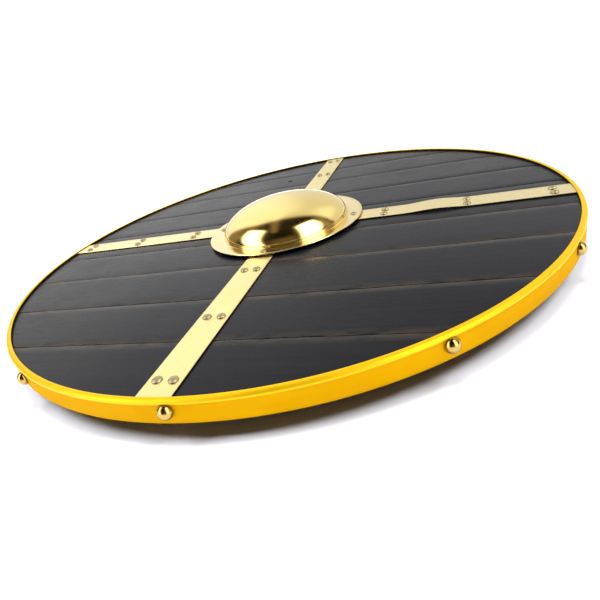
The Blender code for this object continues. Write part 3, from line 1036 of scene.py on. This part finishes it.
@dataclass
class SpunBoss:
    """The spun brass boss: a dome, a small cove and a flange that is slightly dished."""

    dome_radius: float = 0.072
    cove: float = 0.0008
    flange_dish: float = 0.0012
    sheet: float = 0.0012
    edge_round: float = 0.0004
    edge_steps: int = 3
    dome_rings: int = 40
    cove_steps: int = 5
    flange_rings: int = 4
    steps: int = 180
    uneven: float = 0.0003
    uneven_size: float = 0.035

    def outline(self) -> Outline:
        """Draw the outer face, from the crown to the flange's edge."""
        place = PLACES["boss"]
        flange = place.low.z + self.sheet
        base = flange + self.cove
        rise = place.high.z - base
        points = []
        for index in range(self.dome_rings):
            turn = math.pi / 2 * index / self.dome_rings
            points.append((self.dome_radius * math.sin(turn), base + rise * math.cos(turn)))
        inner = self.dome_radius + self.cove
        points += arc((inner, base), self.cove, 180.0, 270.0, self.cove_steps)
        for index in range(1, self.flange_rings + 1):
            share = index / self.flange_rings
            points.append((inner + (BOSS_RADIUS - inner) * share, flange + self.flange_dish * share))
        return points

    def build(self, drill: Piece) -> None:
        """Build the boss, with its pin holes."""
        boss = turn_outline("spun_boss", self.outline(), self.steps, BOSS_AXIS)
        thicken(boss, self.sheet)
        inner = self.dome_radius + self.cove
        swell(
            boss, self.uneven, lambda co: ramp((co - BOSS_AXIS).xy.length, inner, BOSS_RADIUS), "Z",
            ripple("flange ripple", self.uneven_size),
        )
        soften(boss, self.edge_round, self.edge_steps)
        cut(boss, drill)
        smooth(boss)
        hand_over(boss, [BOSS_BRASS.material(), FLANGE_BRASS.material()], "boss_brass", "boss")
        middle = self.dome_radius + self.cove / 2
        for face in boss.data.polygons:
            face.material_index = int((face.center - BOSS_AXIS).xy.length > middle)


@dataclass
class Battens:
    """The grip batten behind the hand hole and the two side battens."""

    end_thickness: float = 0.009
    taper: float = 0.028
    rounding: float = 0.003
    grip_rounding: float = 0.005
    rounding_steps: int = 4
    rounded_from: float = 40.0
    station: float = 0.004
    hand_plane: float = 0.0005
    hand_plane_size: float = 0.03
    tone_start: float = 4.0
    tone_slope: float = 9.0
    edge_wear: float = 0.6

    def build_batten(self, node: str, drill: Piece) -> Piece:
        """Build one batten, with its pin holes."""
        place = PLACES[node]
        batten = add_bar("wooden_" + node, place.low, place.high)
        levels = (place.low.y + self.taper, place.high.y - self.taper)
        with editing(batten):
            for level in levels:
                bpy.ops.mesh.select_all(action="SELECT")
                bpy.ops.mesh.bisect(plane_co=(0.0, level, 0.0), plane_no=(0, 1, 0))
            select(batten, Pick.VERTS, lambda vert: vert.co.z < place.centre.z and not (
                levels[0] - MERGE < vert.co.y < levels[1] + MERGE
            ))
            rise = place.size.z - self.end_thickness
            bpy.ops.transform.translate(value=(0.0, 0.0, rise))
        rounding = self.grip_rounding if node == "grip_batten" else self.rounding
        soften(batten, rounding, self.rounding_steps, self.rounded_from)
        with editing(batten):
            select(batten, Pick.EDGES, lambda edge: (
                runs_along(edge, 1) and edge.calc_length() > 2 * self.taper
            ))
            bpy.ops.mesh.subdivide(number_cuts=round(place.size.y / self.station))
        swell(
            batten, -self.hand_plane, lambda co: float(co.z < place.high.z - MERGE), "NORMAL",
            ripple("hand plane", self.hand_plane_size),
        )
        cut(batten, drill)
        smooth(batten)
        return batten

    def build(self, drill: Piece) -> None:
        """Build the three battens."""
        stain = BATTEN_STAIN.material()
        for node in ("grip_batten", "back_batten_left", "back_batten_right"):
            batten = self.build_batten(node, drill)
            middle, half = PLACES[node].centre.x, PLACES[node].size.x / 2
            store(batten, "tone", lambda co: self.tone_start + self.tone_slope * middle)
            store(batten, "wear_and_light", lambda co: self.edge_wear * (
                1.0 - ramp(half - abs(co.x - middle), 0.0, self.rounding)
            ))
            hand_over(batten, [stain], "batten_wood", node)


@dataclass(frozen=True)
class Panel:
    """A bright flat panel of the studio, square to its own direction from the shield.

    The azimuth, elevation and roll are in degrees. Half its width, half its height and its soft
    edge are shares of its distance.
    """

    azimuth: float
    elevation: float
    half_width: float
    half_height: float
    soft: float
    strength: float
    roll: float = 0.0

    def axes(self) -> tuple[Vector, Vector, Vector]:
        """Return the directions to the panel, along its width and along its height."""
        azimuth, elevation = math.radians(self.azimuth), math.radians(self.elevation)
        level = math.cos(elevation)
        ahead = Vector((level * math.cos(azimuth), level * math.sin(azimuth), math.sin(elevation)))
        across = Vector((-math.sin(azimuth), math.cos(azimuth), 0.0))
        turn = Matrix.Rotation(math.radians(self.roll), 3, ahead)
        return ahead, turn @ across, turn @ ahead.cross(across)


@dataclass(frozen=True)
class Lamp:
    """A distant lamp with soft shadows, which lights the floor and the wood.

    Its azimuth, elevation and size are in degrees.
    """

    azimuth: float
    elevation: float
    size: float
    strength: float

    def build(self) -> None:
        """Hang the lamp, left out of what the brass mirrors."""
        data = bpy.data.lights.new("lamp", "SUN")
        data.energy = self.strength
        data.angle = math.radians(self.size)
        lamp = bpy.data.objects.new("lamp", data)
        lamp.visible_glossy = False
        lamp.rotation_euler = (0.0, math.radians(90.0 - self.elevation), math.radians(self.azimuth))
        bpy.context.scene.collection.objects.link(lamp)


@dataclass
class Studio:
    """The white floor, the soft light over it, what the brass mirrors, and the camera."""

    camera_place: Vector = Vector((0.19227, -0.47843, 0.19698))
    camera_forward: Vector = Vector((-0.335724, 0.822474, -0.459157))
    camera_roll: float = -14.39
    lens: float = 27.727
    sensor: float = 36.0
    floor_size: float = 12.0
    floor_colour: Colour = (0.81, 0.825, 0.895)
    floor_rough: float = 0.9
    lamps: tuple[Lamp, ...] = (
        Lamp(22.0, 52.0, 32.0, 3.5), Lamp(96.0, 76.0, 18.0, 2.1), Lamp(176.0, 50.0, 34.0, 4.2),
    )
    fill: float = 0.02
    dark: float = 0.016
    warm_dark: Colour = (1.0, 0.74, 0.42)
    warm_range: tuple[float, float] = (0.15, 0.85)
    ahead_least: float = 0.05
    panels: tuple[Panel, ...] = (
        # The wide wall behind, and two brighter patches on it.
        Panel(91.0, 0.0, 2.33, 2.19, 0.50, 0.82, 16.8),
        Panel(130.0, 33.0, 0.36, 0.48, 0.22, 0.42),
        Panel(48.0, 42.0, 0.30, 0.22, 0.20, 0.36),
        # The tall bright boxes at the near right and the near left.
        Panel(334.8, 19.7, 0.32, 1.45, 0.14, 4.4, -13.4),
        Panel(219.4, 18.6, 0.29, 1.25, 0.14, 3.7, 27.5),
        # A thin strip overhead, and dim sheets at the left, the right and the near side.
        Panel(151.7, 74.2, 0.46, 0.06, 0.05, 0.24, 36.2),
        Panel(168.0, 15.0, 0.30, 0.45, 0.22, 0.26),
        Panel(8.0, 20.0, 0.16, 0.60, 0.12, 0.30),
        Panel(280.0, 5.0, 0.45, 0.60, 0.30, 0.11),
    )

    def panel_light(self, sheet: NodeSheet, view: Socket, panel: Panel) -> Socket:
        """Return the brightness that a panel adds in a direction of view."""
        ahead, across, up = (sheet.dot(view, axis) for axis in panel.axes())
        depth = sheet.maths("MAXIMUM", ahead, self.ahead_least)
        in_front = sheet.maths("GREATER_THAN", ahead, self.ahead_least)
        light = sheet.maths("MULTIPLY", in_front, panel.strength)
        for side, half in ((across, panel.half_width), (up, panel.half_height)):
            share = sheet.maths("DIVIDE", sheet.maths("ABSOLUTE", side), depth)
            edge = sheet.remap(share, half - panel.soft, half + panel.soft, 1.0, 0.0)
            light = sheet.maths("MULTIPLY", light, edge)
        return light

    def build_world(self) -> None:
        """Put up the panels that the brass mirrors, a dim fill and plain white behind the floor."""
        world = bpy.data.worlds.new("studio")
        bpy.context.scene.world = world
        world.use_nodes = True
        sheet = NodeSheet(world.node_tree)
        background = world.node_tree.nodes["Background"]
        view = sheet.add("TexCoord", {}).outputs["Generated"]
        mirrored: float | Socket = self.dark
        for panel in self.panels:
            mirrored = sheet.maths("ADD", mirrored, self.panel_light(sheet, view, panel))
        path = sheet.add("LightPath", {}).outputs
        glossy = path["Is Glossy Ray"]
        unmirrored = sheet.maths("SUBTRACT", 1.0, glossy)
        light = sheet.maths("MULTIPLY", glossy, mirrored)
        light = sheet.maths("ADD", light, sheet.maths("MULTIPLY", unmirrored, self.fill))
        plain = sheet.maths("MAXIMUM", sheet.remap(mirrored, *self.warm_range), unmirrored)
        sheet.fill(background, {
            "Color": sheet.blend(plain, self.warm_dark, WHITE),
            "Strength": sheet.maths("MAXIMUM", light, path["Is Camera Ray"]),
        })

    def build_floor(self) -> None:
        """Lay the pale floor."""
        bpy.ops.mesh.primitive_plane_add(size=self.floor_size)
        floor = settle("floor")
        material, _, shader = new_material("floor_white")
        shader.inputs["Base Color"].default_value = (*self.floor_colour, 1.0)
        shader.inputs["Roughness"].default_value = self.floor_rough
        floor.data.materials.append(material)

    def build_camera(self) -> None:
        """Set up the camera at the photograph's angle."""
        data = bpy.data.cameras.new("camera")
        data.lens = self.lens
        data.sensor_width = self.sensor
        camera = bpy.data.objects.new("camera", data)
        bpy.context.scene.collection.objects.link(camera)
        roll = Quaternion((0.0, 0.0, 1.0), math.radians(self.camera_roll))
        turn = self.camera_forward.to_track_quat("-Z", "Y") @ roll
        camera.matrix_world = Matrix.Translation(self.camera_place) @ turn.to_matrix().to_4x4()
        bpy.context.scene.camera = camera

    def build(self) -> None:
        """Build the floor, the light and the camera."""
        self.build_camera()
        self.build_floor()
        for lamp in self.lamps:
            lamp.build()
        self.build_world()
        bpy.context.scene.view_settings.view_transform = "Standard"


def main() -> None:
    """Build the shield and its studio, and report each piece."""
    logging.basicConfig(level=logging.INFO, format="%(message)s")
    Studio().build()
    pins, nails = Pins(), RimNails()
    pin_drill, nail_drill = pins.add_drill(), nails.add_drill()
    PlankBoard().build((pin_drill, nail_drill))
    FoldedRim().build((nail_drill,))
    StrapCross().build(pin_drill)
    SpunBoss().build(pin_drill)
    Battens().build(pin_drill)
    pins.build()
    nails.build()
    discard(pin_drill, nail_drill)


if __name__ == "__main__":
    main()
